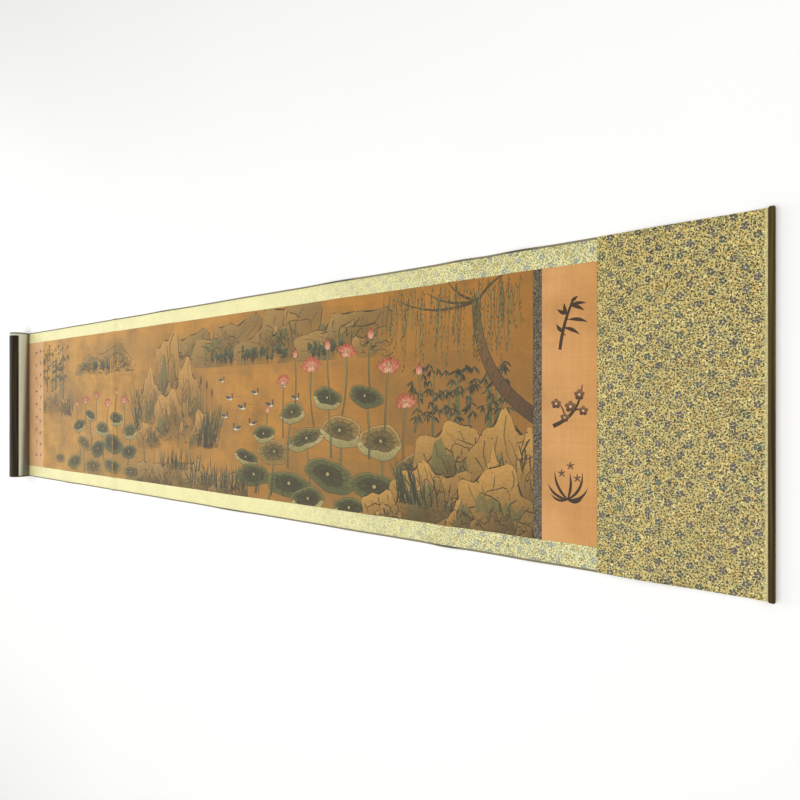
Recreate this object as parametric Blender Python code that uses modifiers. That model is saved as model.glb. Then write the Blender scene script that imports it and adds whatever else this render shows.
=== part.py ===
"""A mounted silk handscroll, opened flat on a table with its far end still rolled up.

The scroll lies along X: the stave is at +X and the roll at -X. Its width runs along Y and the
picture side faces +Z. The origin is on the table, under the middle of the whole scroll.
"""

import math

import bmesh
import bpy
import numpy as np

# ---- Driving dimensions, in metres ----------------------------------------------------------

SCROLL_WIDTH = 0.330
OVERALL_LENGTH = 1.482
GAP = 0.0003  # clearance between pieces that touch on the real scroll

# Pasted sheets
SHEET = 0.0010  # thickness of the backing and of each panel
LIFT = SHEET + GAP  # height of a panel's underside above the backing's
TOP_BORDER = 0.024
BOTTOM_BORDER = 0.025

# Lengths along the scroll, from the stave towards the roll
STAVE_WIDTH = 0.0065
HEAD_LENGTH = 0.1410
TITLE_LENGTH = 0.0567
DIVIDER_LENGTH = 0.0094
PICTURE_LENGTH = 1.1640

# Stave: a flat batten with a rounded top
STAVE_HEIGHT = 0.0065
STAVE_TOP_ROUND = 0.0024
STAVE_FOOT_ROUND = 0.0006
STAVE_CORNER_STEPS = 5
STAVE_LIP_RISE = 0.0012  # the sheet climbs this much to meet the stave
STAVE_LIP_RUN = 0.012

# Roll: a spiral whose outer turn starts under the roll and shrinks by one pitch a turn
ROLL_RADIUS = 0.0190
ROLL_PITCH = 0.0012
ROLL_FLAT = 0.0002  # depth of the small flat spot that the roll rests on
ROLL_SEAM_DEG = -82.0  # where the flat sheet runs in under the roll, from +X towards +Z
ROLL_STEPS = 72

# Cover strip pasted round the roll, from its near side over the top to its far side
COVER_NEAR_DEG = 25.0
COVER_FAR_DEG = 200.0
COVER_WIDTH = 0.312
COVER_STEPS = 36

# How far from the roll's centre line the flat sheets stop
BACKING_STOP = 0.0038
PANEL_STOP = 0.0078

# Soft ridges left by years of rolling: each is a raised cosine across the scroll.
# centre x, half length along X, height at +Y edge, height at -Y edge, slant (x per y)
RIDGES = (
    (0.644, 0.053, 0.0014, 0.0026, 0.05),
    (0.517, 0.041, 0.0024, 0.0012, -0.04),
    (0.429, 0.035, 0.0018, 0.0027, 0.06),
    (0.264, 0.063, 0.0023, 0.0010, -0.08),
    (0.044, 0.085, 0.0008, 0.0022, 0.10),
    (-0.152, 0.061, 0.0018, 0.0007, -0.05),
    (-0.330, 0.014, 0.0022, 0.0020, 0.01),
    (-0.503, 0.050, 0.0009, 0.0018, 0.04),
)
RIDGE_STEPS = 10  # grid columns over one ridge
LIP_STEPS = 4  # grid columns over the lip at the stave
CLOSEST_COLUMNS = 0.0008

# ---- Places worked out from them ------------------------------------------------------------

HALF_WIDTH = SCROLL_WIDTH / 2
NEAR_END = OVERALL_LENGTH / 2


def spiral_radius(degrees):
    """Radius of the roll's outer turn, largest at its seam and one pitch less a turn on."""
    turned = (ROLL_SEAM_DEG - degrees) % 360.0 / 360.0
    return ROLL_RADIUS - ROLL_PITCH * turned


ROLL_X = -NEAR_END + spiral_radius(180.0) + GAP + SHEET
ROLL_Z = ROLL_RADIUS - ROLL_FLAT

STAVE_X = NEAR_END - STAVE_WIDTH
HEAD_X = STAVE_X - HEAD_LENGTH
TITLE_X = HEAD_X - TITLE_LENGTH
DIVIDER_X = TITLE_X - DIVIDER_LENGTH
PICTURE_X = DIVIDER_X - PICTURE_LENGTH
PANEL_END_X = ROLL_X + PANEL_STOP
BACKING_END_X = ROLL_X + BACKING_STOP

PICTURE_TOP_Y = HALF_WIDTH - TOP_BORDER
PICTURE_BOTTOM_Y = -HALF_WIDTH + BOTTOM_BORDER

# sRGB colour, roughness
FINISHES = {
    "lining_paper": ("A89C84", 0.85),
    "head_brocade": ("C4B685", 0.60),
    "border_brocade": ("E9DFA8", 0.60),
    "tan_silk": ("DDA971", 0.70),
    "picture_silk": ("B98A4F", 0.70),
    "dark_brocade": ("4A4130", 0.60),
    "dark_silk": ("3B3426", 0.50),
}


# ---- Scene and materials --------------------------------------------------------------------


def clear_scene():
    for obj in list(bpy.data.objects):
        bpy.data.objects.remove(obj, do_unlink=True)


def linear(hex_colour):
    """sRGB hex to a linear RGBA tuple."""
    values = [int(hex_colour[i : i + 2], 16) / 255 for i in (0, 2, 4)]
    toned = [v / 12.92 if v <= 0.04045 else ((v + 0.055) / 1.055) ** 2.4 for v in values]
    return (*toned, 1.0)


def finish(name):
    material = bpy.data.materials.get(name)
    if material is None:
        material = bpy.data.materials.new(name)
        material.use_nodes = True
        shader = material.node_tree.nodes["Principled BSDF"]
        colour, roughness = FINISHES[name]
        shader.inputs["Base Color"].default_value = linear(colour)
        shader.inputs["Roughness"].default_value = roughness
        shader.inputs["Metallic"].default_value = 0.0
    return material


def add_part(name, data, collection, parent, material):
    obj = bpy.data.objects.new(name, data)
    collection.objects.link(obj)
    obj.parent = parent
    obj.data.materials.append(finish(material))
    return obj


# ---- Shapes ---------------------------------------------------------------------------------


def table_rise(x, y):
    """Height of the scroll's underside over the table: the ridges, and the lip at the stave."""
    rise = np.zeros_like(x)
    for centre, half, at_top, at_bottom, slant in RIDGES:
        across = (x - centre - slant * y) / half
        height = at_bottom + (at_top - at_bottom) * (y + HALF_WIDTH) / SCROLL_WIDTH
        bump = np.cos(np.clip(across, -1.0, 1.0) * math.pi / 2) ** 2
        rise = rise + height * bump
    climb = np.clip((x - STAVE_X + STAVE_LIP_RUN) / STAVE_LIP_RUN, 0.0, 1.0)
    return rise + STAVE_LIP_RISE * climb**2 * (3 - 2 * climb)


def columns(x_from, x_to):
    """Grid columns from x_from to x_to: close together over a ridge and the lip, few between."""
    marks = [x_from, x_to]
    for centre, half, _, _, slant in RIDGES:
        reach = half + abs(slant) * HALF_WIDTH
        marks.extend(np.linspace(centre - reach, centre + reach, RIDGE_STEPS + 1))
    marks.extend(np.linspace(STAVE_X - STAVE_LIP_RUN, STAVE_X, LIP_STEPS + 1))
    marks = sorted(m for m in marks if x_from <= m <= x_to)
    kept = [marks[0]]
    for mark in marks[1:]:
        if mark - kept[-1] > CLOSEST_COLUMNS:
            kept.append(mark)
    kept[-1] = x_to
    return np.array(kept)


def sheet_panel(name, x_span, y_span, lift, rows, collection, parent, material):
    """A flat-cut sheet that follows the ridges: a grid with its columns moved, then Solidify."""
    x_from, x_to = x_span[0] + GAP / 2, x_span[1] - GAP / 2
    y_from, y_to = y_span
    at = columns(x_from, x_to)
    grid = bmesh.new()
    bmesh.ops.create_grid(grid, x_segments=len(at) - 1, y_segments=rows, size=0.5)
    for vertex in grid.verts:
        share_x, share_y = vertex.co.x + 0.5, vertex.co.y + 0.5
        x = at[round(share_x * (len(at) - 1))]
        y = y_from + (y_to - y_from) * share_y
        rise = table_rise(np.array([x]), np.array([y]))[0]
        vertex.co = (x, y, rise + lift)
    for face in grid.faces:
        face.smooth = True
    for edge in grid.edges:
        edge.smooth = not edge.is_boundary
    data = bpy.data.meshes.new(name)
    grid.to_mesh(data)
    grid.free()
    obj = add_part(name, data, collection, parent, material)
    solid = obj.modifiers.new("Thickness", "SOLIDIFY")
    solid.thickness = SHEET
    solid.offset = 1.0
    solid.use_even_offset = True
    return obj


def upright_outline(name, points, width, collection, parent, material):
    """An outline of (x, z) points, filled and carried across the scroll to a width along Y."""
    curve = bpy.data.curves.new(name, "CURVE")
    curve.dimensions = "2D"
    curve.fill_mode = "BOTH"
    curve.extrude = width / 2
    spline = curve.splines.new("POLY")
    spline.points.add(len(points) - 1)
    for point, (x, z) in zip(spline.points, points):
        point.co = (x, z, 0.0, 1.0)
    spline.use_cyclic_u = True
    obj = add_part(name, curve, collection, parent, material)
    obj.rotation_euler = (math.radians(90), 0.0, 0.0)
    return obj


def point_at(centre_x, centre_z, radius, degrees):
    turn = math.radians(degrees)
    return centre_x + radius * math.cos(turn), centre_z + radius * math.sin(turn)


def stave_outline():
    """The batten's section: nearly square feet and a well rounded top."""
    near, far, top = NEAR_END, STAVE_X, STAVE_HEIGHT
    crown, foot = STAVE_TOP_ROUND, STAVE_FOOT_ROUND
    corners = (
        (near - foot, foot, foot, -90, 0),
        (near - crown, top - crown, crown, 0, 90),
        (far + crown, top - crown, crown, 90, 180),
        (far + foot, foot, foot, 180, 270),
    )
    points = []
    for x, z, radius, start, stop in corners:
        for degrees in np.linspace(start, stop, STAVE_CORNER_STEPS + 1):
            points.append(point_at(x, z, radius, degrees))
    return points


def roll_outline():
    """One turn of the spiral from the seam back to it, cut flat where it rests on the table."""
    points = []
    for turned in np.linspace(0.0, 1.0, ROLL_STEPS + 1):
        radius = ROLL_RADIUS - ROLL_PITCH * turned
        x, z = point_at(ROLL_X, ROLL_Z, radius, ROLL_SEAM_DEG - 360.0 * turned)
        points.append((x, max(z, 0.0)))
    return points


def cover_outline():
    """The cover's section: its outer face one way, then its inner face back."""
    turn = np.linspace(COVER_NEAR_DEG, COVER_FAR_DEG, COVER_STEPS + 1)
    outer = [point_at(ROLL_X, ROLL_Z, spiral_radius(d) + GAP + SHEET, d) for d in turn]
    inner = [point_at(ROLL_X, ROLL_Z, spiral_radius(d) + GAP, d) for d in turn[::-1]]
    return outer + inner


# ---- The handscroll -------------------------------------------------------------------------


def build():
    clear_scene()
    collection = bpy.data.collections.new("handscroll")
    bpy.context.scene.collection.children.link(collection)
    table = bpy.data.objects.new("table_point", None)
    collection.objects.link(table)

    full = (-HALF_WIDTH, HALF_WIDTH)
    middle = (PICTURE_BOTTOM_Y + GAP / 2, PICTURE_TOP_Y - GAP / 2)
    top = (PICTURE_TOP_Y + GAP / 2, HALF_WIDTH)
    bottom = (-HALF_WIDTH, PICTURE_BOTTOM_Y - GAP / 2)
    sheets = (
        # name, x from, x to, y span, lift, rows, finish
        ("backing", BACKING_END_X, STAVE_X - GAP / 2, full, 0.0, 6, "lining_paper"),
        ("head_panel", HEAD_X, STAVE_X - GAP / 2, full, LIFT, 6, "head_brocade"),
        ("title_panel", TITLE_X, HEAD_X, middle, LIFT, 4, "tan_silk"),
        ("divider_strip", DIVIDER_X, TITLE_X, middle, LIFT, 4, "dark_brocade"),
        ("picture_panel", PICTURE_X, DIVIDER_X, middle, LIFT, 5, "picture_silk"),
        ("colophon_panel", PANEL_END_X, PICTURE_X, middle, LIFT, 1, "tan_silk"),
        ("top_border", PANEL_END_X, HEAD_X, top, LIFT, 1, "border_brocade"),
        ("bottom_border", PANEL_END_X, HEAD_X, bottom, LIFT, 1, "border_brocade"),
    )
    for name, x_from, x_to, y_span, lift, rows, material in sheets:
        x_span = (x_from, x_to)
        sheet_panel(name, x_span, y_span, lift, rows, collection, table, material)

    upright_outline("head_stave", stave_outline(), SCROLL_WIDTH, collection, table, "dark_silk")
    upright_outline("roll", roll_outline(), SCROLL_WIDTH, collection, table, "lining_paper")
    upright_outline("roll_cover", cover_outline(), COVER_WIDTH, collection, table, "dark_silk")


build()
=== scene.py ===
"""A silk-mounted handscroll, part unrolled on a table: stave, brocade head, title panel, painting,
closing panel, and the rest of its length still wound up at the far end."""

import bpy
import numpy as np
from mathutils import Matrix, Vector
from mathutils.geometry import delaunay_2d_cdt


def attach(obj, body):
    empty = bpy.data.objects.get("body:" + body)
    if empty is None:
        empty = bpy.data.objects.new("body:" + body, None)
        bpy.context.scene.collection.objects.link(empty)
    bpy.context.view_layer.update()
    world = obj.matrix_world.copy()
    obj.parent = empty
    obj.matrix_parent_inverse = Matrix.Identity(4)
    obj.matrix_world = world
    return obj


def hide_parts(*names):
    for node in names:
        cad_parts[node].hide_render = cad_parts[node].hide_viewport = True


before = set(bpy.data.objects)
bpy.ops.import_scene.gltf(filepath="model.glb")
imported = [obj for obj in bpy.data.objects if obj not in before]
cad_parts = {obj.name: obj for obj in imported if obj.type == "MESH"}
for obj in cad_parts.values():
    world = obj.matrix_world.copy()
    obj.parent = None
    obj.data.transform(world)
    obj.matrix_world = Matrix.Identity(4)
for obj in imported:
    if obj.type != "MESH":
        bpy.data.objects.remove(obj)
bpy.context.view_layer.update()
scene = bpy.context.scene

# ---------------------------------------------------------------- the view and the light
# The scroll is looked along from just past its stave, 575 mm up, so its far end narrows.
# A wide soft lamp hangs overhead and a second stands beyond the far end for the silk's gleam.
EYE = Vector((0.7743, 0.0, 0.5754))
LOOK_DOWN = np.radians(53.70)
lens = bpy.data.cameras.new("eye")
lens.lens, lens.sensor_width, lens.shift_y = 26.09, 36.0, 0.0059
lens.clip_start, lens.clip_end = 0.01, 50.0
camera = bpy.data.objects.new("eye", lens)
right = Vector((np.sin(LOOK_DOWN), 0, -np.cos(LOOK_DOWN)))
back = Vector((np.cos(LOOK_DOWN), 0, np.sin(LOOK_DOWN)))
turned = Matrix((right, back.cross(right), back)).transposed().to_4x4()
camera.matrix_world = Matrix.Translation(EYE) @ turned
scene.collection.objects.link(camera)
scene.camera = camera
scene.view_settings.view_transform = "Standard"
scene.view_settings.look = "None"

for name, at, aim, size, power in (
    ("overhead", (0.1, -0.35, 1.7), (0.0, 0.0, 0.0), (2.2, 1.4), 19.0),
    ("far_window", (-2.1, 0.25, 1.05), (-0.3, 0.0, 0.0), (1.8, 1.3), 15.5),
    ("near_fill", (1.5, 0.5, 0.9), (0.4, 0.0, 0.0), (1.0, 1.0), 3.0),
):
    lamp = bpy.data.lights.new(name, "AREA")
    lamp.shape, lamp.size, lamp.size_y, lamp.energy = "RECTANGLE", *size, power
    lamp.color = (1.0, 0.99, 0.975)
    hung = bpy.data.objects.new(name, lamp)
    facing = (Vector(at) - Vector(aim)).to_track_quat("Z", "Y").to_matrix().to_4x4()
    hung.matrix_world = Matrix.Translation(Vector(at)) @ facing
    scene.collection.objects.link(hung)


def srgb(code):
    """Linear colour of an sRGB hex code: c / 12.92 near black, otherwise ((c + 0.055) / 1.055) ** 2.4.
    Two more digits give how much it covers."""
    c = np.array([int(code[i:i + 2], 16) / 255 for i in (1, 3, 5)])
    lin = np.where(c <= 0.04045, c / 12.92, ((c + 0.055) / 1.055) ** 2.4)
    return (*lin.tolist(), int(code[7:] or "FF", 16) / 255)


def feed(node, *values, **named):
    """Fills a node's open inputs, in order and by name: another node's output is linked to the input,
    a hex code is turned into its colour, and any other value is set."""
    pairs = list(zip([socket for socket in node.inputs if socket.enabled], values))
    pairs += [(node.inputs[key.replace("_", " ")], value) for key, value in named.items()]
    for socket, value in pairs:
        if isinstance(value, bpy.types.NodeSocket):
            node.id_data.links.new(value, socket)
        else:
            socket.default_value = srgb(value) if isinstance(value, str) else value


def finish(name, **shader):
    """A material with one Principled shader, its constant values set on the shader's own sockets.
    Returns the material, the shader and put(kind, ...), which adds a node, feeds it and returns its
    output `out`, or its first open one. A word after the kind says which of its kind it is."""
    material = bpy.data.materials.new(name)
    material.use_nodes = True
    skin = material.node_tree.nodes["Principled BSDF"]
    feed(skin, **shader)

    def put(kind, *values, out=None, **named):
        kind, _, word = kind.partition(" ")
        node = material.node_tree.nodes.new("ShaderNode" + kind)
        if word:
            setattr(node, {"Math": "operation", "VectorMath": "operation", "Mix": "data_type",
                           "TexVoronoi": "voronoi_dimensions", "TexWave": "bands_direction",
                           "TexWhiteNoise": "noise_dimensions", "UVMap": "uv_map",
                           "Attribute": "attribute_name"}[kind], word)
        feed(node, *values, **named)
        return node.outputs[out] if out else [socket for socket in node.outputs if socket.enabled][0]

    return material, skin, put


def cloth(name, **shader):
    """A finish for cloth. Also returns the place in the flat cloth, in metres and in millimetres."""
    material, skin, put = finish(name, **shader)
    flat = put("UVMap cloth")
    return material, skin, put, flat, put("VectorMath SCALE", flat, 1000.0)


# ---------------------------------------------------------------- the table
# A matt white lacquered board, sprayed and flatted, with the faintest unevenness in its colour.
world = bpy.data.worlds.new("room")
world.use_nodes = True
feed(world.node_tree.nodes["Background"], Color="#FBFBFA", Strength=0.50)
scene.world = world

lacquer, skin, put = finish("matt_white_lacquer", Roughness=0.55, Specular_IOR_Level=0.3)
cloud = put("TexNoise", put("TexCoord", out="Object"), Scale=3.0, Detail=3.0)
feed(skin, Base_Color=put("Mix RGBA", cloud, "#F9F9F8", "#FDFDFC"))
board = bpy.data.meshes.new("table_top")
board.from_pydata([(-9, -9, 0), (9, -9, 0), (9, 9, 0), (-9, 9, 0)], [], [(0, 1, 2, 3)])
board.materials.append(lacquer)
table = bpy.data.objects.new("table_top", board)
scene.collection.objects.link(table)

# ---------------------------------------------------------------- the lining
# Two layers of mulberry paper pasted behind everything, and the sheet that lies on the table.
# It is beaten and brushed on damp, so it dries in low ridges; its colour turns dark within 3.6 mm of
# each long edge.
WIDTH, LENGTH = 0.330, 1.482
HALF = WIDTH / 2
NEAR_END = LENGTH / 2
STAVE_X = NEAR_END - 0.0065
STAVE_EDGE = NEAR_END - 0.0055
PAPER = 0.0010
PASTE_GAP = 0.0003
ON_PAPER = PAPER + PASTE_GAP
SILK = 0.0010
SEAM = 0.0001
CUT_ROUND = 0.0003
DARK_EDGE_BAND = 0.0026
RIDGES = (  # middle along the scroll, half its run, height at the far and near long edge, slant
    (0.644, 0.053, 0.0014, 0.0026, 0.05),
    (0.517, 0.041, 0.0024, 0.0012, -0.04),
    (0.429, 0.035, 0.0018, 0.0027, 0.06),
    (0.264, 0.063, 0.0023, 0.0010, -0.08),
    (0.044, 0.085, 0.0008, 0.0022, 0.10),
    (-0.152, 0.061, 0.0018, 0.0007, -0.05),
    (-0.330, 0.014, 0.0022, 0.0020, 0.01),
    (-0.503, 0.050, 0.0009, 0.0018, 0.04),
)
ROLL_RADIUS, TURN_STEP, SEAM_ANGLE = 0.0190, 0.0012, -82.0
ROLL_X = -NEAR_END + ROLL_RADIUS - TURN_STEP * (180 + SEAM_ANGLE) / 360 + 0.0013
ROLL_Z = ROLL_RADIUS - 0.0002


def lie(x, y):
    """Height of the sheet's underside over the table: raised-cosine ridges across the scroll, whose
    height runs evenly from one long edge to the other, a smooth climb of 1.2 mm onto the stave,
    and cockles of up to a fifth of a millimetre, the product of slow sines."""
    rise = np.zeros(np.broadcast(x, y).shape)
    for middle, half, high_far, high_near, slant in RIDGES:
        height = high_near + (high_far - high_near) * (y + HALF) / WIDTH
        across = np.clip((x - middle - slant * y) / half, -1, 1)
        rise += height * np.cos(across * np.pi / 2) ** 2
    climb = np.clip((x - STAVE_X + 0.012) / 0.012, 0, 1)
    rise += 0.0012 * climb**2 * (3 - 2 * climb)
    cockle = np.sin(x * 61 + 3 * np.sin(y * 9)) * np.sin(y * 23 + 2 * np.sin(x * 17))
    return rise + 0.0001 * (1 + cockle)


def mesh_piece(name, points, faces, flat, material):
    """A mesh from arrays of points and of faces, each face a row of corners, with the point's place in
    the flat cloth, in metres, as its map; edges that turn more than 45 degrees stay crisp."""
    mesh = bpy.data.meshes.new(name)
    mesh.from_pydata(points.tolist(), [], faces.tolist())
    mesh.validate()
    layer = mesh.uv_layers.new(name="cloth")
    layer.data.foreach_set("uv", np.ascontiguousarray(flat[faces.ravel()], np.float32).ravel())
    mesh.shade_smooth()
    mesh.set_sharp_from_angle(angle=np.radians(45))
    mesh.materials.append(material)
    made = bpy.data.objects.new(name, mesh)
    scene.collection.objects.link(made)
    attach(made, "root")
    return made


def two_faced(name, top, under, flat, material):
    """A closed sheet from its two faces, each a grid of places in rows: quads on both, and a rim of
    quads between their four edges. `flat` holds each place in the flat cloth."""
    n = flat[..., 0].size
    number = np.arange(n).reshape(flat.shape[:2])
    quads = np.stack([number[:-1, :-1], number[1:, :-1], number[1:, 1:], number[:-1, 1:]], -1)
    quads = quads.reshape(-1, 4)
    ring = np.r_[number[:-1, 0], number[-1, :-1], number[:0:-1, -1], number[0, :0:-1]]
    after = np.roll(ring, -1)
    rim = np.stack([ring, ring + n, after + n, after], 1)
    return mesh_piece(name, np.concatenate([top.reshape(-1, 3), under.reshape(-1, 3)]),
                      np.concatenate([quads, quads[:, ::-1] + n, rim]),
                      np.concatenate([flat.reshape(-1, 2)] * 2), material)


def even(start, stop, step):
    """Stations from start to stop about `step` apart, with two more close to each end, for the round
    of a cut edge."""
    inner = np.linspace(start + CUT_ROUND, stop - CUT_ROUND, max(2, round((stop - start) / step)))
    return np.r_[start, start + 0.3 * CUT_ROUND, inner, stop - 0.3 * CUT_ROUND, stop]


def laid_sheet(name, x0, x1, y0, y1, material, base, thick, step=0.004):
    """A cut sheet lying `base` above lie(). Its upper face drops along each edge as a quarter circle of
    radius 0.3 mm; the lower one is flat."""
    x, y = np.meshgrid(even(x0, x1, step), even(y0, y1, step), indexing="ij")
    inset = np.minimum(np.minimum(x - x0, x1 - x), np.minimum(y - y0, y1 - y))
    drop = CUT_ROUND * (1 - np.sqrt(1 - np.clip(1 - inset / CUT_ROUND, 0, 1) ** 2))
    low = lie(x, y) + base
    return two_faced(name, np.stack([x, y, low + thick - drop], -1), np.stack([x, y, low], -1),
                     np.stack([x, y], -1), material)


paper, skin, put, flat, mm = cloth("mulberry_paper_lining", Roughness=0.82,
                                   Specular_IOR_Level=0.28, Sheen_Weight=0.12)
fibre = put("Mapping", mm, Scale=(0.9, 0.16, 1.0), Rotation=(0, 0, 0.5))
hairs = put("TexNoise", fibre, Scale=1.0, Detail=6.0, Distortion=1.2)
stain = put("TexNoise", mm, Scale=0.035, Detail=3.0)
aged = put("Mix RGBA", stain, put("Mix RGBA", hairs, "#CFCBBA", "#F0EEE2"), "#C6C9AE")
across = put("Math ABSOLUTE", put("SeparateXYZ", flat, out="Y"))
dark_edged = put("Mix RGBA", put("Math GREATER_THAN", across, HALF - DARK_EDGE_BAND - 0.001), aged, "#857B64")
# Painted shade in the nip where the roll meets the sheet: on the roll's near flank, above the flat
# sheet, the paper darkens towards #4A4B3C, reaching higher towards the -Y long edge.
x, y, z = put("SeparateXYZ", put("TexCoord", out="Object")).node.outputs
low = put("Math SUBTRACT", put("Math MULTIPLY_ADD", y, -0.040, 0.016), z)
low = put("MapRange", low, -0.003, 0.005, 0.0, 0.84)
past = put("MapRange", x, ROLL_X + 0.006, ROLL_X + 0.012)
on_roll = put("MapRange", z, 0.0022, 0.0032)
painted_nip_shade = put("Math MULTIPLY", put("Math MULTIPLY", low, past), on_roll)
feed(skin, Base_Color=put("Mix RGBA", painted_nip_shade, dark_edged, "#4A4B3C"),
     Normal=put("Bump", Strength=0.35, Distance=0.0002, Height=hairs))

lining = laid_sheet("lining_sheet", ROLL_X + 0.0038, STAVE_EDGE - SEAM, -HALF, HALF, paper,
                    0.0, PAPER, step=0.008)
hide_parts("backing")

# ---------------------------------------------------------------- the brocade head
# Jacquard silk on a golden ground: rows of small grey flower heads among curling vines with cream
# outlines. It is cut full width, pasted to the lining and turned up against the stave.
HEAD_X = STAVE_X - 0.1410
REPEAT_MM, ROW_MM = 26.0, 9.0
ROW_SHIFT = (0.0, 0.65, 0.31, 0.69)


def brocade(name, vine, shade, blooms, painted_highlight, **shader):
    """Brocade with a repeat 26 mm wide and 36 mm high. Each 9 mm row has one flower in every repeat, set
    along by its own share of it: a head of radius 3.4 mm + 0.4 cos 5a with a pale edge, petal lines and
    eye. Behind them scrolls, the contour lines of a 4 mm noise, wind about 2 mm apart over blotches
    of the ground shades, between dark dots of 1 mm. Last comes a painted highlight: a pale colour,
    standing in for light caught by the silk, comes in along the scroll from the first place given to the
    second.
    Threads are drawn four times too coarse so that they show."""
    made, skin, put, flat, mm = cloth(name, **shader)

    def steps(share, stops):
        """A ramp that jumps to each stop's colour at its place."""
        picked = put("ValToRGB", share)
        ramp = picked.node.color_ramp
        ramp.interpolation = "CONSTANT"
        while len(ramp.elements) < len(stops):
            ramp.elements.new(0.5)
        for number, (start, colour) in enumerate(stops):
            ramp.elements[number].position = start
            ramp.elements[number].color = srgb(colour) if isinstance(colour, str) else colour
        return picked

    loose = put("TexNoise", mm, Scale=0.16, Detail=1.0, out="Color")
    drift = put("VectorMath SCALE", put("VectorMath SUBTRACT", loose, (0.5, 0.5, 0.5)), 2.4)
    spot = put("VectorMath ADD", mm, drift)
    x, y, _ = put("SeparateXYZ", spot).node.outputs

    row = put("Math FLOOR", put("Math MULTIPLY_ADD", y, 1 / ROW_MM, 0.5))
    dy = put("Math MULTIPLY_ADD", row, -ROW_MM, y)
    shift = steps(put("Math FRACT", put("Math MULTIPLY", row, 0.25)),
                  [(max(0.0, k / 4 - 0.02), (part, part, part, 1))
                   for k, part in enumerate(ROW_SHIFT)])
    along = put("Math MULTIPLY_ADD", shift, -1.0, put("Math MULTIPLY", x, 1 / REPEAT_MM))
    column = put("Math FLOOR", put("Math ADD", along, 0.5))
    dx = put("Math MULTIPLY", put("Math SUBTRACT", along, column), REPEAT_MM)
    reach = put("VectorMath LENGTH", put("CombineXYZ", dx, dy))
    lobes = put("Math COSINE", put("Math MULTIPLY", put("Math ARCTAN2", dy, dx), 5.0))
    inside = put("Math SUBTRACT", put("Math MULTIPLY_ADD", lobes, 0.4, 3.4), reach)
    head = put("MapRange", inside, -0.1, 0.1)
    rim = put("Math COMPARE", inside, 0.0, 0.26)
    veins = put("Math MULTIPLY", put("Math COMPARE", lobes, -1.0, 0.07),
                put("Math GREATER_THAN", reach, 1.1))
    eye = put("Math LESS_THAN", reach, 0.7)
    hue = steps(put("TexWhiteNoise 2D", put("CombineXYZ", column, row)), blooms)

    cells = put("TexVoronoi 2D", spot, Scale=0.3, out="Color")
    fill = steps(put("SeparateXYZ", cells), shade)
    scroll = put("TexNoise", spot, Scale=0.25, Detail=0.0, Distortion=1.4)
    scroll = put("Math FRACT", put("Math MULTIPLY", scroll, 4.3))
    off_line = put("Math ABSOLUTE", put("Math SUBTRACT", scroll, 0.5))
    cream = put("MapRange", off_line, 0.17, 0.23, 1.0, 0.0)
    dots = put("TexVoronoi 2D", spot, Scale=0.37, Randomness=0.9)
    dots = put("MapRange", dots, 0.22, 0.3, 1.0, 0.0)
    line = put("Math MAXIMUM", rim, put("Math MULTIPLY", veins, head))
    line = put("Math MULTIPLY", put("Math MAXIMUM", line, eye), 0.8)
    # painted highlight: a pale colour mixed in along the scroll, standing in for light caught by the
    # silk
    x_from, x_to, strength, pale = painted_highlight
    bare = put("MapRange", put("SeparateXYZ", flat), x_from, x_to, 0.0, strength)
    weave = put("Mix RGBA", cream, fill, vine)
    for share, colour in ((head, hue), (line, vine), (dots, shade[0][1]), (bare, pale)):
        weave = put("Mix RGBA", share, weave, colour)

    slub = put("TexNoise", put("Mapping", mm, Scale=(0.35, 4.0, 1.0)), Scale=1.0, Detail=2.0)
    worn = put("TexNoise", mm, Scale=0.02, Detail=3.0)
    level = put("Math MULTIPLY", put("Math MULTIPLY_ADD", slub, 0.35, 0.72),
                put("Math MULTIPLY_ADD", worn, 0.3, 0.86))
    thread = put("TexWave Y", mm, Scale=0.31, Distortion=0.6)
    raised = put("Math MULTIPLY_ADD", put("Math MAXIMUM", cream, head), 0.6,
                 put("Math MULTIPLY", thread, 0.3))
    feed(skin, Base_Color=put("VectorMath SCALE", weave, level),
         Normal=put("Bump", Strength=0.5, Distance=0.00012, Height=raised),
         Roughness=put("Math MULTIPLY_ADD", cream, -0.12, 0.52))
    return made


gold_brocade = brocade(
    "golden_silk_brocade", vine="#ECDC8C",
    shade=((0.0, "#453C24"), (0.14, "#8F7B41"), (0.4, "#AE9648"), (0.62, "#7F7A4E"),
           (0.78, "#B99442"), (0.93, "#77705A")),
    blooms=((0.0, "#5F574C"), (0.42, "#6C6359"), (0.68, "#5B634E"), (0.88, "#9C8134")),
    # painted highlight: a pale band within 3 mm of the stave, for light caught where the silk turns up
    # against it
    painted_highlight=(STAVE_EDGE - 0.0030, STAVE_EDGE - 0.0016, 0.6, "#FBEFAC"), Specular_IOR_Level=0.5,
    Sheen_Weight=0.2, Sheen_Roughness=0.35,
)
head = laid_sheet("brocade_head", HEAD_X - SEAM, STAVE_EDGE, -HALF + 0.0004, HALF - 0.0004,
                  gold_brocade, ON_PAPER, SILK)
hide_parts("head_panel")

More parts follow.
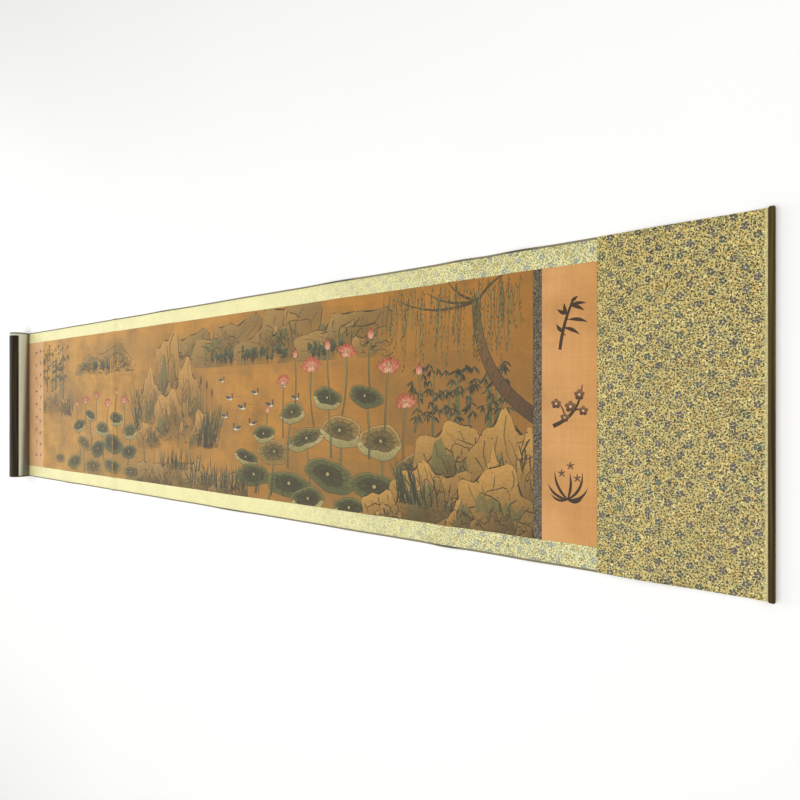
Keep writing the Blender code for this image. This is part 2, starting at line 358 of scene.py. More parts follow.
# ---------------------------------------------------------------- the long borders
# The same figured silk on a cream ground, cut 24 and 25 mm wide and run the whole length from the
# head to the roll above and below the panels. It stops 2.6 mm short of each long edge, where the lining
# is dark.
PICTURE_TOP, PICTURE_FOOT = 0.141, -0.140
PANEL_END = ROLL_X + 0.0078
cream_brocade = brocade(
    "cream_silk_brocade", vine="#F4EDB0",
    shade=((0.0, "#8D8858"), (0.1, "#C9C27C"), (0.4, "#E4DA92"), (0.72, "#BDC09C")),
    blooms=((0.0, "#9BA096"), (0.42, "#AAAFA0"), (0.66, "#99A893"), (0.88, "#C5B569")),
    # painted highlight: the borders turn pale from 0.475 m towards the far end, for the gleam of satin
    # seen at a low angle
    painted_highlight=(0.475, 0.12, 0.82, "#FDF6B4"), Specular_IOR_Level=0.55, Sheen_Weight=0.25,
    Sheen_Roughness=0.3,
)
far_border = laid_sheet("upper_border", PANEL_END, HEAD_X - 2 * SEAM, PICTURE_TOP, HALF - DARK_EDGE_BAND,
                        cream_brocade, ON_PAPER, SILK)
near_border = laid_sheet("lower_border", PANEL_END, HEAD_X - 2 * SEAM, -HALF + DARK_EDGE_BAND,
                         PICTURE_FOOT, cream_brocade, ON_PAPER, SILK)
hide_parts("top_border")
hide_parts("bottom_border")

# ---------------------------------------------------------------- the painted panels
# Sized silk in tabby weave, toned with tea and painted in ink and mineral colours before it is
# lined: a title panel, the long painting of a lotus pond, and a closing panel, butted edge to
# edge. Their subjects are the stock ones of any brush painter's manual.
TITLE_X = HEAD_X - 0.0567
DIVIDER_X = TITLE_X - 0.0094
PICTURE_X = DIVIDER_X - 1.1640
PANEL_LOW, PANEL_HIGH = PICTURE_FOOT + SEAM, PICTURE_TOP - SEAM
TILE_MM, GRID_MM, TOUCH_MM = 40, 10, 0.002


def painting_silk(name, far, near, dark, x_far, x_near):
    """Toned silk: bare, its colour runs from `far` to `near` along the scroll, mixed with `dark` by a
    slow noise, times streaks 2 to 4 mm wide along both threads. Paint, kept on each corner with its
    cover, goes over that, solid from a cover of 0.6, and is mottled by a 3 mm noise. Threads lie
    0.5 mm apart, drawn coarse."""
    made, skin, put, flat, mm = cloth(name, Roughness=0.6, Specular_IOR_Level=0.4,
                                      Sheen_Weight=0.12, Sheen_Roughness=0.4)
    along = put("MapRange", put("SeparateXYZ", flat), x_far, x_near)
    cloud = put("TexNoise", mm, Scale=0.016, Detail=5.0, Roughness=0.6)
    cloud = put("MapRange", cloud, 0.42, 0.75, 0.0, 0.75)
    tone = put("Mix RGBA", cloud, put("Mix RGBA", along, far, near), dark)
    paint = put("Attribute paint").node.outputs
    dabs = put("TexNoise", mm, Scale=0.3, Detail=4.0, Roughness=0.65)
    coat = put("VectorMath SCALE", paint["Color"], put("Math MULTIPLY_ADD", dabs, 0.9, 0.55))
    tone = put("Mix RGBA", put("MapRange", paint["Alpha"], 0.0, 0.6, 0.0, 0.93), tone, coat)
    tabby = put("Math ADD", *(put("TexWave " + way, mm, Scale=0.62, Distortion=0.5, Detail=1.0)
                              for way in "XY"))
    level = put("Math MULTIPLY_ADD", tabby, 0.06, 0.94)
    for stretch, depth in (((0.3, 0.008, 1.0), 0.22), ((0.008, 0.4, 1.0), 0.16)):
        streak = put("TexNoise", put("Mapping", mm, Scale=stretch), Scale=1.0, Detail=3.0)
        streak = put("Math MULTIPLY_ADD", streak, depth, 1 - depth / 2)
        level = put("Math MULTIPLY", streak, level)
    feed(skin, Base_Color=put("VectorMath SCALE", tone, level),
         Normal=put("Bump", Strength=0.3, Distance=0.00008, Height=tabby))
    return made


def split(points, faces):
    """Constrained triangles of the region that `faces` outline: places, each triangle's corners, and
    each place's list of given points."""
    cut = delaunay_2d_cdt([Vector(p) for p in points.tolist()], [], faces, 1, 0.001)
    return np.array([v[:] for v in cut[0]]), np.array(cut[2]), cut[3]


def lattice(xs, ys):
    """Every place with one of the xs and one of the ys."""
    return np.stack(np.meshgrid(xs, ys), -1).reshape(-1, 2)


def counter_clockwise(spots, corners):
    """Triangles whose cross product is negative, turned the other way round."""
    p = spots[corners]
    ahead, aside = p[:, 1] - p[:, 0], p[:, 2] - p[:, 0]
    wrong = ahead[:, 0] * aside[:, 1] < ahead[:, 1] * aside[:, 0]
    return np.where(wrong[:, None], corners[:, ::-1], corners)


def topmost(spots, patches, here):
    """The last of the patches numbered in `here` that holds each spot, or -1. A patch holds a spot
    when an odd number of its sides pass to the right of it."""
    owner = np.full(len(spots), -1)
    for k in here:
        a = patches[k][0]
        near = np.flatnonzero(((spots > a.min(0)) & (spots < a.max(0))).all(1))
        x, y, b = spots[near, :1], spots[near, 1:], np.roll(a, -1, 0)
        passes = (a[:, 1] > y) != (b[:, 1] > y)
        crossing = a[:, 0] + (y - a[:, 1]) * (b[:, 0] - a[:, 0]) / (b[:, 1] - a[:, 1] + 1e-12)
        owner[near[(passes & (x < crossing)).sum(1) % 2 == 1]] = k
    return owner


def redrawn(spots, corners, owner, grid):
    """The same coloured regions with fewer triangles. Only edges between two colours, or on the tile's
    rim, are kept, and triangles are drawn between them and the grid."""
    n = len(spots)
    ends = corners[:, [0, 1, 1, 2, 2, 0]].reshape(-1, 2)
    colour = np.repeat(owner, 3)
    key, back = ends[:, 0] * n + ends[:, 1], ends[:, 1] * n + ends[:, 0]
    order = np.argsort(key)
    at = order[np.minimum(np.searchsorted(key[order], back), len(order) - 1)]
    ends = ends[(key[at] != back) | (colour[at] != colour)]
    kept, ends = np.unique(ends, return_inverse=True)
    points = np.concatenate([spots[kept], grid])
    pairs = np.unique(np.sort(ends.reshape(-1, 2), 1), axis=0).tolist()
    cut = delaunay_2d_cdt([Vector(p) for p in points.tolist()], pairs, [], 0, 0.0005)
    places = np.array([points[g[0]] if g else v[:] for v, g in zip(cut[0], cut[3])])
    return places, counter_clockwise(places, np.array(cut[2]))


def stitched(places, tris, owners, lines):
    """Along each straight line, given as its axis and place, flat triangles are dropped, and where the
    side of another runs past a place on the line, it becomes a fan with a side to each such place."""
    for axis, at in lines:
        line = np.flatnonzero(np.abs(places[:, axis] - at) < TOUCH_MM)
        line = line[np.argsort(places[line, 1 - axis])]
        rank = np.full(len(places), -1)
        rank[line] = np.arange(len(line))
        thick = (rank[tris] < 0).any(1)
        tris, owners = tris[thick], owners[thick]
        for side in range(3):
            corners = np.roll(tris, -side, 1)
            a, b = rank[corners[:, 0]], rank[corners[:, 1]]
            past = (a >= 0) & (b >= 0) & (np.abs(a - b) > 1)
            if not past.any():
                continue
            a, b, tips = a[past], b[past], corners[past, 2]
            count = np.abs(a - b)
            step = np.arange(count.sum()) - np.repeat(np.cumsum(count) - count, count)
            from_rank = np.repeat(a, count) + step * np.repeat(np.sign(b - a), count)
            to_rank = from_rank + np.repeat(np.sign(b - a), count)
            fans = np.stack([line[from_rank], line[to_rank], np.repeat(tips, count)], 1)
            tris = np.concatenate([tris[~past], fans])
            owners = np.concatenate([owners[~past], np.repeat(owners[past], count)])
    return tris, owners


def painted_sheet(name, x0, x1, material, patches, start_mm=0.0):
    """A laid sheet with its painting cut into it, so each colour keeps a crisp edge. The panel, in
    millimetres from its lower far corner, starts at start_mm and is taken in tiles 40 mm long. In
    each, triangles are drawn between all outlines and a 10 mm grid, and each triangle takes the
    colour of the last patch that holds it. Tiles are joined where their places meet; the back is
    coarse, and a rim closes it."""
    wide, high = (x1 - x0) * 1000, (PANEL_HIGH - PANEL_LOW) * 1000
    least = np.array([p[0].min(0) for p in patches])
    most = np.array([p[0].max(0) for p in patches])
    cuts = np.linspace(start_mm, start_mm + wide, max(1, round(wide / TILE_MM)) + 1)
    gy = np.linspace(0, high, round(high / GRID_MM) + 1)
    places, tris, owners, count = [], [], [], 0
    for a, b in zip(cuts[:-1], cuts[1:]):
        here = np.flatnonzero((least[:, 0] < b) & (most[:, 0] > a)
                              & (least[:, 1] < high) & (most[:, 1] > 0))
        gx = np.linspace(a, b, max(2, round((b - a) / GRID_MM)) + 1)
        points = [np.array([(a, 0), (b, 0), (b, high), (a, high)]), lattice(gx, gy)]
        faces, n = [[0, 1, 2, 3]], 4 + len(points[1])
        for k in here:
            outline = patches[k][0]
            points.append(outline)
            faces.append(list(range(n, n + len(outline))))
            n += len(outline)
        spots, corners, _ = split(np.concatenate(points), faces)
        middle = spots[corners].mean(1)
        keep = ((middle > (a, 0)) & (middle < (b, high))).all(1)
        corners, middle = counter_clockwise(spots, corners[keep]), middle[keep]
        spots, corners = redrawn(spots, corners, topmost(middle, patches, here),
                                 lattice(gx[1:-1], gy[1:-1]))
        places.append(spots)
        tris.append(corners + count)
        owners.append(topmost(spots[corners].mean(1), patches, here))
        count += len(spots)
    places, tris, owners = np.concatenate(places), np.concatenate(tris), np.concatenate(owners)
    same = np.arange(count)
    for cut in cuts[1:-1]:
        near = np.flatnonzero(np.abs(places[:, 0] - cut) < TOUCH_MM)
        near = near[np.argsort(places[near, 1])]
        fresh = np.r_[True, np.diff(places[near, 1]) > 1.5 * TOUCH_MM]
        same[near] = near[np.flatnonzero(fresh)[np.cumsum(fresh) - 1]]
    tris = same[tris]
    whole = (tris[:, 0] != tris[:, 1]) & (tris[:, 1] != tris[:, 2]) & (tris[:, 2] != tris[:, 0])
    used, tris = np.unique(tris[whole], return_inverse=True)
    places = places[used]
    tris, owners = stitched(places, tris.reshape(-1, 3), owners[whole],
                            [(0, cut) for cut in cuts] + [(1, 0), (1, high)])

    ring = []
    for axis, at, way in ((1, 0, 1), (0, cuts[-1], 1), (1, high, -1), (0, cuts[0], -1)):
        on = np.flatnonzero(np.abs(places[:, axis] - at) < TOUCH_MM)
        ring.append(on[np.argsort(way * places[on, 1 - axis])][:-1])
    ring = np.concatenate(ring)
    inner = lattice(*(np.arange(low + 2 * GRID_MM, top - GRID_MM, 2 * GRID_MM)
                      for low, top in ((cuts[0], cuts[-1]), (0, high))))
    back_points = np.concatenate([places[ring], inner])
    _, back_tris, given = split(back_points, [list(range(len(ring)))])
    given = [g[0] for g in given]
    n, spots = len(places), back_points[given]
    slot_of = np.empty(len(back_points), int)
    slot_of[given] = np.arange(len(given)) + n
    low_ring = slot_of[:len(ring)]
    after, low_after = np.roll(ring, -1), np.roll(low_ring, -1)
    rim = np.concatenate([np.stack([ring, low_ring, low_after], 1),
                          np.stack([ring, low_after, after], 1)])
    flat = np.concatenate([places, spots]) / 1000 + (x0 - start_mm / 1000, PANEL_LOW)
    height = lie(flat[:, 0], flat[:, 1]) + ON_PAPER
    height[:n] += SILK
    faces = np.concatenate([tris, back_tris[:, ::-1] + n, rim])
    made = mesh_piece(name, np.c_[flat, height], faces, flat, material)

    first, second = (np.array([srgb(p[i]) for p in patches] + [(0, 0, 0, 0)]) for i in (1, 2))
    start = np.array([p[3] for p in patches] + [(0, 0)], float)
    run = np.array([p[4] for p in patches] + [(0, 1)], float) - start
    share = ((places[tris] - start[owners][:, None]) * run[owners][:, None]).sum(-1)
    share = np.clip(share / ((run[owners] ** 2).sum(-1)[:, None] + 1e-9), 0, 1)[..., None]
    colour = first[owners][:, None] * (1 - share) + second[owners][:, None] * share
    full = np.zeros((len(faces), 3, 4))
    full[:len(tris)] = colour
    layer = made.data.color_attributes.new("paint", "FLOAT_COLOR", "CORNER")
    layer.data.foreach_set("color", full.astype(np.float32).ravel())
    return made


def bow(p, q, bend=0.0, count=7):
    """A bowed line from p to q: the straight one moved sideways by bend, its length and 4 t (1 - t)."""
    t = np.linspace(0, 1, count)[:, None]
    p, q = np.array(p, float), np.array(q, float)
    return p + (q - p) * t + np.array([p[1] - q[1], q[0] - p[0]]) * bend * 4 * t * (1 - t)


PLAIN = (0.25, 1.0, 0.85, 0.1)


def brush(line, width, taper=PLAIN):
    """Outline of a brush stroke: half the width to each side of the line, times the taper, whose values
    are spread evenly along it."""
    run = np.gradient(line, axis=0)
    side = np.stack([-run[:, 1], run[:, 0]], 1) / (np.hypot(*run.T)[:, None] + 1e-9)
    share = np.linspace(0, len(taper) - 1, len(line))
    half = 0.5 * width * np.interp(share, range(len(taper)), taper)[:, None]
    return np.concatenate([line + side * half, (line - side * half)[::-1]])


def ring_of(x, y, across, up, count=16, wave=(), turn=0.0):
    """A closed outline: an ellipse, its radius times one plus each wave's share of sin(n a + phase),
    turned about its middle."""
    a = np.linspace(0, 2 * np.pi, count, endpoint=False)
    swell = 1 + sum(share * np.sin(n * a + phase) for n, share, phase in wave)
    flat = np.stack([across * swell * np.cos(a), up * swell * np.sin(a)], 1)
    c, s = np.cos(turn), np.sin(turn)
    return flat @ np.array([[c, s], [-s, c]]) + (x, y)


def grown(outline, by):
    """The outline, which goes round to the left, moved out along its neighbours' chord's normals."""
    chord = np.roll(outline, -1, 0) - np.roll(outline, 1, 0)
    out = np.stack([chord[:, 1], -chord[:, 0]], 1) / (np.hypot(*chord.T)[:, None] + 1e-9)
    return outline + out * by


INK, BROWN_INK = "#2B261E", "#4B3523"
PETAL_STROKE = (0.4, 1, 0.6, 0.0)
work, rng = [], np.random.default_rng(7)


def wash(outline, first, second=None, start=(0, 0), stop=(0, 1), ink=0.0, line=INK):
    """Adds a patch that runs from the first colour at start to the second at stop, over an ink edge
    `ink` wide that fades as the patch does. Outlines go round to the left, as the triangles need."""
    if np.sum(outline[:, 0] * np.roll(outline[:, 1], -1)
              - outline[:, 1] * np.roll(outline[:, 0], -1)) < 0:
        outline = outline[::-1]
    if ink:
        work.append((grown(outline, ink), line, line + (second or first)[7:], start, stop))
    work.append((outline, first, second or first, start, stop))


def stroke(p, q, bend, count, width, taper, *paint, **edge):
    """One brush stroke along a bowed line."""
    wash(brush(bow(p, q, bend, count), width, taper), *paint, **edge)


def pick(*codes):
    """One of the colours, by chance."""
    return codes[rng.integers(len(codes))]


def lotus_leaf(x, y, r, tilt, folds=0.0):
    """A round leaf seen at a slant: a wavy rim, three darker washes toward its hollow middle and veins
    that run out from there and fork. A folded one shows a strip of its pale back along the front;
    `folds` is the chance of that, and `tilt` the range that its height over its width is from."""
    tilt = rng.uniform(*tilt)
    dark, olive, dry = (("#787440", "#525A36", "#39402A"), ("#9C864C", "#746C3C", "#535432"),
                        ("#B08F52", "#89723C", "#675A32"))
    pale, mid, deep = pick(dark, olive, dark, dry)
    folded = folds and rng.random() < folds
    turn = rng.uniform(-0.3, 0.3)
    waves = [(n, s, rng.uniform(0, 6.3)) for n, s in ((2, 0.05), (3, 0.04), (5, 0.04), (9, 0.02))]
    rim = ring_of(x, y, r, r * tilt, 32, waves, turn)
    core = np.array([x + rng.uniform(-0.1, 0.1) * r, y + 0.1 * r * tilt])
    back, front = (x, y + r * tilt), (x, y - r * tilt)
    wash(rim, pale, mid, back, front, ink=0.55)
    for share, shade, foot in ((0.9, mid, mid), (0.66, deep, deep), (0.34, "#333A2A", deep)):
        wash(core + (rim - core) * share * rng.uniform(0.95, 1.02), shade, foot, back, front)
    large = r > 24
    count = 13 if large else 9
    for k in range(count):
        end = core + (rim[k * 32 // count] - core) * 0.96
        stroke(core, end, rng.uniform(-0.06, 0.06), 4, 0.75, (0.9, 1, 0.8, 0.4), INK)
        if large:
            fork = core + (rim[k * 32 // count + 1] - core) * 0.97
            stroke(core + (end - core) * 0.6, fork, 0.03, 3, 0.55, (0.8, 1, 0.3), INK)
    wash(ring_of(*core, 0.07 * r, 0.06 * r, 8), "#A79A5E")
    if folded:
        lip = rim[16:]
        depth = 0.5 + 0.3 * np.abs(np.linspace(-1, 1, len(lip)))[:, None]
        wash(np.concatenate([lip, (core + (lip - core) * depth)[::-1]]), "#AFA06A", "#8B8452",
             (x, y), front, ink=0.4)
        for p in lip[2:15:3]:
            stroke(p, core + (p - core) * 0.62, 0.05, 4, 0.5, PLAIN, BROWN_INK)


def stem(foot, top, width):
    """A slightly bowed stalk with an ink edge half a millimetre wide."""
    bend, slim = rng.uniform(-0.06, 0.06), (1, 1, 0.9, 0.8)
    stroke(foot, top, bend, 5, width + 1.0, slim, INK)
    stroke(foot, top, bend, 5, width, slim, "#56603C", "#7E7B4C", foot, top)


def lotus_flower(x, y, r):
    """Pointed petals fanned about the middle, the back ones longest, then a seed head, then the front
    ones; each runs from its red tip to its pale base."""
    tips, edge = ("#B23A24", "#E3B68E"), {"ink": 0.35, "line": "#5E2A1E"}
    upright = np.pi / 2 + rng.uniform(-0.3, 0.3)
    for reach, count, fan in ((1.0, 7, 2.6), (0.82, 6, 2.0)):
        for k in range(count):
            a = upright + fan * (k / (count - 1) - 0.5) + rng.uniform(-0.08, 0.08)
            end = (x + r * reach * np.cos(a), y + r * reach * 0.85 * np.sin(a))
            stroke((x, y), end, rng.uniform(-0.1, 0.1), 6, r * 0.36, (0.3, 0.8, 1.0, 0.75, 0.05),
                   *tips, end, (x, y), **edge)
    wash(ring_of(x, y + 0.12 * r, 0.2 * r, 0.12 * r, 10), "#B8A24C", "#6E7040", (x, y + r * 0.2),
         (x, y), ink=0.3)
    for k in range(5):
        a = upright + 3.4 * (k / 4 - 0.5)
        end = (x + 0.6 * r * np.cos(a), y + 0.28 * r * np.sin(a) - 0.1 * r)
        stroke((x, y - 0.12 * r), end, 0.1 if k < 2 else -0.1, 6, r * 0.34, (0.4, 1.0, 0.8, 0.05),
               *tips, end, (x, y), **edge)


def lotus_bud(x, y, r):
    """Three petals closed to a point, red at the tip."""
    for bend, wide in ((0.16, 0.5), (-0.16, 0.5), (0.0, 0.46)):
        top = (x + r * bend * 0.6, y + r)
        stroke((x, y), top, bend, 6, r * wide, (0.4, 1.0, 0.95, 0.5, 0.05), "#A8321F", "#DFA98A",
               top, (x, y), ink=0.35, line="#5E2A1E")


def lotus(draw, places, sway=0, drop=0, width=0, **look):
    """A leaf, flower or bud of each radius at each place, on a stem whose foot is `drop` lower and
    up to `sway` to a side if that is given."""
    for x, y, r in places:
        if sway:
            stem((x + rng.uniform(-sway, sway), max(0, y - drop)), (x, y), width)
        draw(x, y, r, **look)


def garden_rock(x, y, wide, high, light="#BA8D48", dark="#403920", mist="18"):
    """A stone with a waved dome of an outline whose foot melts into mist. Smaller domes overlap inside
    it, light on the upper left and dark below. Broken strokes repeat each outline, bowed ones run
    down its slopes, and moss is dotted along the ridges."""
    def dome(cx, w, h, jag, ink, colour, lit, shaded):
        phase = rng.uniform(0, 6.3, 3)
        a = np.linspace(0, np.pi, int(np.clip(w / 3, 14, 36)))
        swell = 1 + jag * (0.13 * np.sin(3 * a + phase[0]) + 0.09 * np.sin(7 * a + phase[1])
                           + 0.05 * np.sin(13 * a + phase[2]))
        outline = np.stack([cx + 0.5 * w * np.cos(a) * swell,
                            y + h * np.sin(a) ** 0.8 * swell], 1)
        wash(brush(outline[::2], ink, (0.1, 1, 1, 1, 0.1)), INK)
        wash(outline, colour or pick(light, "#A98245", "#8E6F3A", "#77703F"), dark + mist,
             (cx - lit * w, y + h), (cx + shaded * w, y))
        return outline, np.array([cx, y])

    folds = [dome(x, wide, high, 1.0, 2.2, light, 0.1, 0.05)]
    for _ in range(int(min(3 + wide / 15, 11))):
        cx = x + rng.uniform(-0.32, 0.32) * wide
        w, h = rng.uniform(0.2, 0.4) * wide, rng.uniform(0.4, 0.86) * high
        folds.append(dome(cx, w, h * (1 - 1.1 * abs(cx - x) / wide), 1.3, 1.6, None, 0.3, 0.15))
    for outline, foot in folds:
        n = len(outline)
        for k in np.linspace(1, n - 3, int(np.clip(n / 3, 5, 11))):
            edge = outline[int(k)] + (outline[int(k) + 1] - outline[int(k)]) * (k % 1) - foot
            top, end = foot + edge * rng.uniform(0.84, 0.96), foot + edge * rng.uniform(0.4, 0.72)
            end = end + (rng.uniform(-0.05, 0.05) * wide, 0)
            stroke(top, end, rng.uniform(-0.2, 0.2), 4, rng.uniform(0.8, 2.2), (0.8, 1.0, 0.1),
                   pick("#3A3520", "#4F4527", "#5F5029", "#6E5D31"))
        i = rng.integers(n // 6, n // 2)
        arc = (foot + (outline - foot) * 0.7)[i:i + n // 3 + 1]
        wash(brush(arc, rng.uniform(0.9, 1.5)), INK)
    ridge = np.concatenate([outline[3:-3:3] for outline, _ in folds[:4]])
    for px, py in ridge + rng.normal(0, 0.9, ridge.shape):
        wash(ring_of(px, py, rng.uniform(0.8, 1.7), rng.uniform(0.6, 1.2), 5),
             pick("#2A3320", "#354028"))


def rocks(places, **look):
    """A stone at each place: where it stands, its width and its height."""
    for place in places:
        garden_rock(*place, **look)


def reeds(x, y, count, high, spread, lean):
    """Long blades from a narrow foot, each a bowed stroke that ends in a point."""
    for _ in range(count):
        foot = (x + rng.normal(0, spread), y + rng.uniform(-2, 2))
        tall = high * rng.uniform(0.5, 1.0)
        top = (foot[0] + lean * tall + rng.normal(0, 0.16 * tall), foot[1] + tall)
        tone = pick("#2C3A2E", "#3B4A33", "#5B6340")
        stroke(foot, top, rng.uniform(-0.1, 0.1), 4, rng.uniform(1.4, 2.4), (0.7, 1.0, 0.8, 0.0),
               tone, "#262E22", top, foot)


def cattail(x, y, high):
    """A thin stalk with a brown spike 13 mm long on top."""
    top = (x + rng.uniform(-0.1, 0.1) * high, y + high)
    stroke((x, y), top, 0.03, 5, 1.0, (1, 1, 0.8), "#4E4A2C")
    tip = (top[0], top[1] + 13)
    stroke(top, tip, 0.0, 6, 3.4, (0.5, 1, 1, 0.5), "#6A3F22", "#3E2817", tip, top, ink=0.3)


def duck(x, y, s, way, back):
    """A duck on the water, s long: a hull, a folded wing, a neck with its head and bill, a wake."""
    a = np.linspace(0, 2 * np.pi, 14, endpoint=False)
    hull = np.stack([x + way * 0.5 * s * np.cos(a),
                     y + 0.2 * s * np.sin(a) - 0.08 * s * np.cos(a)], 1)
    wash(hull, "#D9CBA6", "#A08B62", (x, y - 0.2 * s), (x, y + 0.2 * s), ink=0.4)
    stroke((x + way * 0.2 * s, y + 0.05 * s), (x - way * 0.52 * s, y + 0.16 * s), 0.08 * way, 7,
           0.24 * s, (0.4, 1, 0.8, 0.05), back, "#2E3236", (x, y), (x - way * 0.5 * s, y), ink=0.3)
    crown = np.array([x + way * 0.44 * s, y + 0.34 * s])
    stroke((x + way * 0.38 * s, y), crown, -0.15 * way, 5, 0.16 * s, (1.2, 0.8, 1), "#39443A",
           ink=0.3)
    wash(ring_of(*crown, 0.11 * s, 0.1 * s, 9), "#39443A", ink=0.3)
    stroke(crown, crown + (way * 0.24 * s, -0.03 * s), 0, 4, 0.08 * s, (1, 0.8, 0.3), "#B4482C")
    wake = y - 0.2 * s
    stroke((x - 0.6 * s, wake), (x + 0.6 * s, wake), -0.03, 6, 0.6, PLAIN, "#8A6A40")


def willow(x, y, spread, drop, count):
    """Hanging strands with a slender leaf to either side every few millimetres."""
    for _ in range(count):
        top = np.array([x + rng.uniform(-0.5, 0.5) * spread, y + rng.uniform(-10, 6)])
        fall = np.array([rng.normal(-2, 3), -drop * rng.uniform(0.35, 1.0)])
        stroke(top, top + fall, rng.uniform(-0.07, 0.07), 4, 0.6, (1, 1, 0.4), "#3F3F26")
        nodes = abs(fall[1]) / 6
        for k in range(int(nodes)):
            at = top + fall * (k + 0.5) / nodes
            tip = at + (rng.choice((-1, 1)) * rng.uniform(1.5, 3), -rng.uniform(4, 7))
            stroke(at, tip, 0.1, 3, 1.5, (0.2, 1, 0.1), pick("#3C4A30", "#59623A", "#767243"))


def bamboo(x, y, wide, high, stalks, leaves):
    """Jointed stalks, and over them sprays of three or four narrow leaves that point down."""
    for _ in range(stalks):
        foot = np.array([x + rng.uniform(-0.45, 0.45) * wide, y])
        top = np.array([foot[0] + rng.uniform(-6, 6), y + high * rng.uniform(0.75, 1.0)])
        stroke(foot, top, rng.uniform(-0.03, 0.03), 6, 2.2, (1, 1, 0.6), "#4A5838", "#6E7348",
               foot, top, ink=0.3)
        for share in np.arange(0.12, 0.95, 0.16):
            at = foot + (top - foot) * share
            stroke(at - (1.6, 0), at + (1.6, 0), 0.1, 3, 0.8, PLAIN, INK)
    for _ in range(leaves):
        at = np.array([x + rng.uniform(-0.55, 0.55) * wide,
                       y + high * rng.uniform(0.35, 1.05)])
        for lean in rng.uniform(-1.1, 1.1, 4):
            tip = at + (np.sin(lean) * 11, -np.cos(lean) * rng.uniform(8, 13))
            stroke(at, tip, 0.06, 3, 2.3, (0.3, 1, 0.1), pick("#222B22", "#2E3A2C", "#3D4A35"))


# thin washes straight on the silk: dusk at the top and foot, shade round the banks
for x, y, w, h, tone in ((90, 150, 150, 90, "#6B5A36"), (500, 110, 190, 110, "#6E5C36"),
                         (1060, 120, 170, 130, "#6A5531"), (760, 232, 260, 46, "#7A6438"),
                         (300, 30, 260, 60, "#7C6A3D"), (860, 30, 260, 70, "#6F5E37"),
                         (330, 240, 150, 36, "#806A40")):
    for share, cover in ((1.0, "16"), (0.8, "26"), (0.6, "38"), (0.4, "48")):
        wash(ring_of(x, y, w * share, h * share, 28, ((3, 0.05, x), (5, 0.04, y))), tone + cover)
# far hills across the top with trees at their feet, and ripples below them
rocks(((560, 200, 170, 54), (668, 200, 190, 70), (788, 200, 210, 78), (902, 200, 180, 60),
       (300, 200, 180, 46), (210, 200, 120, 34)), light="#A07E44", dark="#45452B", mist="06")
for x, wide in ((640, 60), (742, 110), (868, 70), (268, 80)):
    for _ in range(int(wide / 3)):
        tx, foot = x + rng.uniform(-0.5, 0.5) * wide, 203 + rng.uniform(-3, 12)
        tall = rng.uniform(9, 17)
        stroke((tx, foot), (tx + 1, foot + tall), 0.1, 3, 1.3, (1, 0.8), BROWN_INK)
        for lift in (0.62, 0.92):
            wash(ring_of(tx + rng.uniform(-1.5, 1.5), foot + lift * tall, rng.uniform(2.4, 4.4),
                         0.24 * tall, 9, ((3, 0.12, tx), (4, 0.1, foot))),
                 "#4B5A3B", "#1F2A24", (tx - 3, foot + tall), (tx + 2, foot + 0.5 * tall))
for _ in range(110):
    x, y, run = rng.uniform(0, 1164), rng.uniform(40, 200), rng.uniform(14, 60)
    stroke((x - run / 2, y), (x + run / 2, y + rng.uniform(-2, 2)), rng.uniform(-0.03, 0.03), 4,
           rng.uniform(0.5, 1.0), PLAIN, "#8C6836")

# far end: a bamboo grove on a bank, and the second lotus bed
bamboo(62, 150, 110, 118, 9, 70)
rocks(((20, 118, 90, 44), (92, 118, 80, 34), (55, 118, 70, 56)))
reeds(120, 116, 24, 52, 12, 0.15)
lotus(lotus_leaf, ((170, 96, 26), (214, 118, 22), (262, 92, 28), (316, 112, 24), (366, 90, 26),
                   (190, 62, 30), (246, 52, 27), (304, 64, 33), (362, 52, 27), (410, 76, 22)),
      8, 60, 2.0, tilt=(0.42, 0.6), folds=0.4)
lotus(lotus_flower, ((196, 146, 15), (286, 140, 17), (344, 146, 14), (240, 156, 12)), 6, 50, 1.6)
lotus(lotus_bud, ((160, 138, 12), (318, 160, 12), (392, 132, 13), (224, 84, 10)), 6, 46, 1.5)
lotus(lotus_leaf, ((150, 22, 30), (226, 16, 34), (300, 22, 32), (372, 14, 30), (84, 26, 24)),
      tilt=(0.4, 0.5))

# the rock island
reeds(400, 96, 30, 90, 10, -0.2)
rocks(((486, 120, 120, 128), (440, 96, 90, 92), (548, 92, 104, 104), (498, 70, 130, 84),
       (590, 66, 84, 56), (430, 60, 80, 46)))
reeds(600, 70, 46, 84, 14, 0.2)
for x in (588, 604, 618, 392, 408):
    cattail(x, 84 + rng.uniform(0, 20), rng.uniform(56, 84))
rocks(((500, -12, 120, 60), (580, -12, 110, 54), (660, -12, 90, 46), (420, -12, 90, 46)),
      light="#A5834A", dark="#433C24", mist="88")
reeds(520, 30, 40, 44, 34, 0.0)

# ducks on open water, and a skein in the air
for x, y, s, way in ((660, 150, 17, 1), (690, 136, 18, 1), (648, 122, 16, 1), (720, 158, 15, 1),
                     (752, 140, 17, 1), (680, 104, 18, -1), (716, 112, 17, -1), (780, 168, 14, 1),
                     (640, 178, 14, 1), (806, 150, 15, 1), (742, 98, 16, -1)):
    duck(x, y, s, way, pick("#4A5560", "#6B4632", "#3E4A46"))
for k in range(9):
    x, y = 190 + 22 * k, 196 + 6 * abs(k - 4) + rng.uniform(-3, 3)
    for way in (-1, 1):
        stroke((x, y), (x + way * 8, y + 3.5), 0.18 * way, 5, 1.6, (1, 0.8, 0.1), "#33302A")

